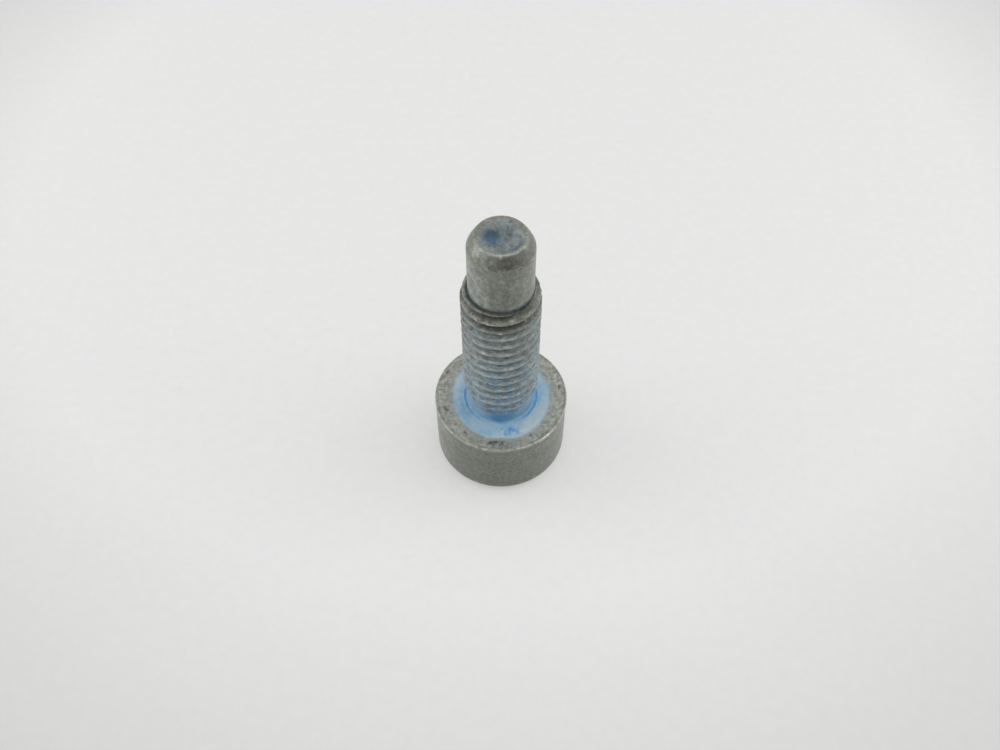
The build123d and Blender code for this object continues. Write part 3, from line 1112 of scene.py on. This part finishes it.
def grey_mix(tree, share, first, second):
    """A number between two others."""
    sockets = {MIX_SHARE: share, MIX_NUMBERS[0]: first, MIX_NUMBERS[1]: second}
    return node(tree, "Mix", sockets, data_type="FLOAT").outputs[MIX_NUMBER_RESULT]


def relief(tree, height, strength, distance):
    """Normal of a fine relief, at most that many millimetres high."""
    sockets = {"Height": height, "Strength": strength, "Distance": distance * MM}
    return node(tree, "Bump", sockets).outputs["Normal"]


def direct_view(tree):
    """1 where the backdrop is seen or reflected, and 0 where it only gives light."""
    paths = node(tree, "LightPath").outputs
    seen_by = ("Is Camera Ray", "Is Glossy Ray", "Is Transmission Ray")
    return highest(tree, [paths[name] for name in seen_by])


def coating_colour(tree, cloud, mottle, grain):
    """Phosphate coating: dark and light crystals, drifting from greenish to brownish."""
    dark_patch = product(tree, remap(tree, mottle, 0.5, 0.7), 0.7)
    light_patch = product(tree, remap(tree, mottle, 0.5, 0.3), 0.4)
    light_grain = product(tree, remap(tree, grain, 0.5, 0.75), 0.5)
    colour = mix(tree, remap(tree, cloud, 0.35, 0.65), COATING_BROWNISH, COATING_GREENISH)
    colour = mix(tree, dark_patch, colour, COATING_DARK)
    colour = mix(tree, light_patch, colour, COATING_LIGHT)
    return mix(tree, light_grain, colour, COATING_GRAIN)


def thin_film_colour(tree, place, tone):
    """Thin film: grey to blue, in streaks that lie along the turns."""
    stretch = {0: place, 1: (0.5, 0.5, 2.5)}
    flat_place = node(tree, "VectorMath", stretch, operation="MULTIPLY").outputs[0]
    streaks = noise(tree, flat_place, 0.4, detail=4, roughness=0.7)
    light_streak = product(tree, remap(tree, streaks, 0.5, 0.32), 0.8)
    dark_streak = product(tree, remap(tree, streaks, 0.48, 0.64), 0.9)
    colour = mix_three(tree, tone, THIN_GREY, THIN_PALE_BLUE, THIN_BLUE)
    colour = mix(tree, light_streak, colour, THIN_LIGHT_STREAK)
    return mix(tree, dark_streak, colour, THIN_DARK_STREAK)


def pooled_film_colour(tree, tone, mottle):
    """Pooled film: pale at its edge and strong blue in spots."""
    light_patch = product(tree, remap(tree, mottle, 0.5, 0.3), 0.3)
    colour = mix_three(tree, tone, POOLED_PALE, POOLED_BLUE, POOLED_STRONG)
    return mix(tree, light_patch, colour, POOLED_LIGHT_PATCH)


def bolt_colour(tree, place, masks, cloud, mottle, grain):
    """Coating, film, worn metal and painted highlights, adhesive, stains and painted shade, and
    grains with a painted glint, each over the last.
    """
    film_share = product(tree, masks["film"], remap(tree, grain, 0.35, 0.6, 0.7, 1.0))
    wear_and_highlight_share = product(tree, masks["wear_and_highlight"], remap(tree, grain, 0.3, 0.6, 0.7, 1.0))
    stain_and_shade_share = product(tree, masks["dirt"], remap(tree, mottle, 0.35, 0.55, 0.6, 1.0))
    thin = thin_film_colour(tree, place, masks["tone"])
    pooled = pooled_film_colour(tree, masks["tone"], mottle)
    wear_and_highlight_colour = mix(tree, remap(tree, mottle, 0.35, 0.65), WEAR_AND_HIGHLIGHT_BRIGHT, WEAR_AND_HIGHLIGHT_DULL)
    gel_and_shade = mix(tree, masks["tone"], GEL_NAVY, GEL_AND_SHADE_BLUE)
    stain_and_shade = mix(tree, cloud, STAIN_AND_SHADE_BLACK, STAIN_AND_SHADE_BROWN)

    colour = coating_colour(tree, cloud, mottle, grain)
    colour = mix(tree, film_share, colour, thin)
    colour = mix(tree, masks["pool"], colour, pooled)
    colour = mix(tree, wear_and_highlight_share, colour, wear_and_highlight_colour)
    colour = mix(tree, masks["gel_and_shade"], colour, gel_and_shade)
    colour = mix(tree, stain_and_shade_share, colour, stain_and_shade)
    return mix(tree, masks["speck_and_glint"], colour, DRY_GRAIN_AND_GLINT)


def bare_metal(tree, masks):
    """1 on clean steel, and 0 under any deposit or painted shade."""
    deposit = highest(tree, [masks[name] for name in ("film", "pool", "dirt", "gel_and_shade")])
    return remap(tree, deposit, 0, 1, 1, 0)


def new_material(name):
    """A material, its node tree and its shader."""
    material = bpy.data.materials.new(name)
    material.use_nodes = True
    return material, material.node_tree, material.node_tree.nodes["Principled BSDF"]


def steel_material():
    """Grey phosphate-coated steel under dried adhesive, stains and worn edges, with painted shade
    and highlights.
    """
    material, tree, shader = new_material("coated_steel")
    place = object_place(tree)
    cloud = noise(tree, place, 1.8, detail=4)
    mottle = noise(tree, place, 0.5, detail=4, roughness=0.65)
    grain = noise(tree, place, 0.14, detail=2)
    masks = {
        name: node(tree, "Attribute", attribute_name=name).outputs["Fac"]
        for name in MASK_NAMES
    }
    metal_share = grey_mix(tree, masks["wear_and_highlight"], 0.25, 0.6)
    roughness = remap(tree, mottle, 0.3, 0.7, 0.32, 0.46)
    roughness = grey_mix(tree, masks["film"], roughness, 0.45)
    roughness = grey_mix(tree, masks["gel_and_shade"], roughness, 0.4)
    crystals = math_of(tree, "ADD", mottle, product(tree, grain, 0.4))
    inputs = {
        "Base Color": bolt_colour(tree, place, masks, cloud, mottle, grain),
        "Metallic": product(tree, bare_metal(tree, masks), metal_share),
        "Roughness": roughness,
        "Sheen Weight": grey_mix(tree, masks["gel_and_shade"], 0.2, 0.05),
        "Sheen Roughness": 0.4,
        "IOR": 1.5,
        "Normal": relief(tree, crystals, strength=0.5, distance=0.04),
    }
    feed(tree, shader, inputs)
    return material


def paper_material():
    """The pale floor, with a faint tooth like matt paper and a painted pool of light round the
    bolt.
    """
    material, tree, shader = new_material("pale_floor")
    place = object_place(tree)
    tooth = noise(tree, place, 1.5, detail=4)
    # Painted light: the paper is palest round the bolt and darker towards the edges of the view.
    to_centre = {0: place, 1: PAPER_FADE_CENTRE}
    distance = node(tree, "VectorMath", to_centre, operation="DISTANCE").outputs["Value"]
    far = remap(tree, distance, PAPER_FADE_START, PAPER_FADE_END)
    colour = mix(tree, far, mix(tree, tooth, *PAPER_NEAR), mix(tree, tooth, *PAPER_FAR))
    bumps = relief(tree, tooth, strength=0.15, distance=0.1)
    inputs = {"Base Color": colour, "Roughness": 0.9, "Specular IOR Level": 0.2, "Normal": bumps}
    feed(tree, shader, inputs)
    # Part of the paper shows as backdrop, which keeps the shadow on it light.
    glowing = node(tree, "Emission", {"Color": colour, "Strength": PAPER_GLOW})
    share = product(tree, direct_view(tree), PAPER_GLOW_SHARE)
    sockets = {0: share, 1: shader.outputs[0], 2: glowing.outputs[0]}
    shown = node(tree, "MixShader", sockets).outputs[0]
    feed(tree, tree.nodes["Material Output"], {"Surface": shown})
    return material


# ---- studio ----

FLOOR_HALF_WIDTH = 1.5
# Each lamp's name, place, size and power.
LAMPS = (
    ("left_lamp", (-0.38, 0.06, 0.15), 0.35, 0.7),
    ("right_lamp", (0.38, 0.03, 0.15), 0.35, 0.7),
    ("top_lamp", (0.06, 0.0, 0.45), 0.3, 0.3),
)
CAMERA_LENS = 34.85
CAMERA_PLACE = (-0.00012, -0.07528, 0.12028)
# The tilt is from straight down.
CAMERA_TILT_DEGREES = 35.66


def make_floor():
    half = FLOOR_HALF_WIDTH
    mesh = bpy.data.meshes.new("floor")
    corners = [(-half, -half, 0), (half, -half, 0), (half, half, 0), (-half, half, 0)]
    mesh.from_pydata(corners, [], [(0, 1, 2, 3)])
    mesh.materials.append(paper_material())
    add_object("floor", mesh)


def make_lamp(name, place, size, power):
    """A soft square lamp that faces the bolt."""
    light = bpy.data.lights.new(name, "AREA")
    light.size = size
    light.energy = power
    lamp = add_object(name, light)
    lamp.location = place
    lamp.rotation_euler = (-lamp.location).to_track_quat("-Z", "Y").to_euler()


def make_world():
    """Even ambient light, and a pale backdrop where the floor ends."""
    world = bpy.data.worlds.new("studio")
    world.use_nodes = True
    tree = world.node_tree
    ambient = tree.nodes["Background"]
    feed(tree, ambient, {"Color": AMBIENT_WHITE, "Strength": AMBIENT_STRENGTH})
    backdrop = node(tree, "Background", {"Color": BACKDROP_GREY, "Strength": 1.0})
    sockets = {0: direct_view(tree), 1: ambient.outputs[0], 2: backdrop.outputs[0]}
    shown = node(tree, "MixShader", sockets).outputs[0]
    feed(tree, tree.nodes["World Output"], {"Surface": shown})
    bpy.context.scene.world = world


def make_camera():
    """The photograph's view: from the front and above, looking 54 degrees down."""
    data = bpy.data.cameras.new("camera")
    data.lens = CAMERA_LENS
    data.sensor_width = 36
    data.clip_start = 0.01
    camera = add_object("camera", data)
    camera.location = CAMERA_PLACE
    camera.rotation_euler = (math.radians(CAMERA_TILT_DEGREES), 0, 0)
    bpy.context.scene.camera = camera


skin = make_skin()
skin.data.materials.append(steel_material())
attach(skin, "root")
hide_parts("bolt")

make_floor()
make_world()
for lamp in LAMPS:
    make_lamp(*lamp)
make_camera()
bpy.context.scene.view_settings.view_transform = "Standard"
